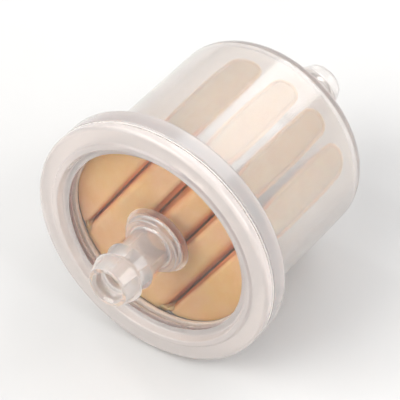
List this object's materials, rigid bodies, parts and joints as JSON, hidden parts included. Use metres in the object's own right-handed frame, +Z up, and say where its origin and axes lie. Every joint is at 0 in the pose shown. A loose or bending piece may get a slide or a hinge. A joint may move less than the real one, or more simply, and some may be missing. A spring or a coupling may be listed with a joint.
{
  "type": "in-line fuel filter",
  "caption": "Small clear plastic in-line fuel filter with a wide round flange, a barbed hose nipple at each end and a folded paper element inside.",
  "frame": {"origin": "on the flow axis, midway between the two nipple tips", "axes": "+Y along the flow, from the inlet nipple to the outlet nipple; +Z up when the filter lies on its side"},
  "size_m": [0.042, 0.0584, 0.042],
  "materials": {
    "clear_housing": "clear, slightly milky moulded plastic with a smooth gloss",
    "pale_ring": "natural white plastic, satin",
    "adhesive": "honey-coloured adhesive, soft gloss",
    "weld": "melted clear plastic, slightly cloudy",
    "filter_paper": "resin-treated orange-tan filter paper, fibrous and matt"
  },
  "bodies": {
    "root": {"inlet_cover": "clear_housing", "housing_cup": "clear_housing", "retaining_ring": "pale_ring", "rim_seal": "adhesive", "weld_bead": "weld", "pleated_paper": "filter_paper", "pleat_seal_1_a": "adhesive", "pleat_seal_1_b": "adhesive", "pleat_seal_2_a": "adhesive", "pleat_seal_2_b": "adhesive", "pleat_seal_3_a": "adhesive", "pleat_seal_3_b": "adhesive", "pleat_seal_4_a": "adhesive", "pleat_seal_4_b": "adhesive"}
  },
  "joints": []
}
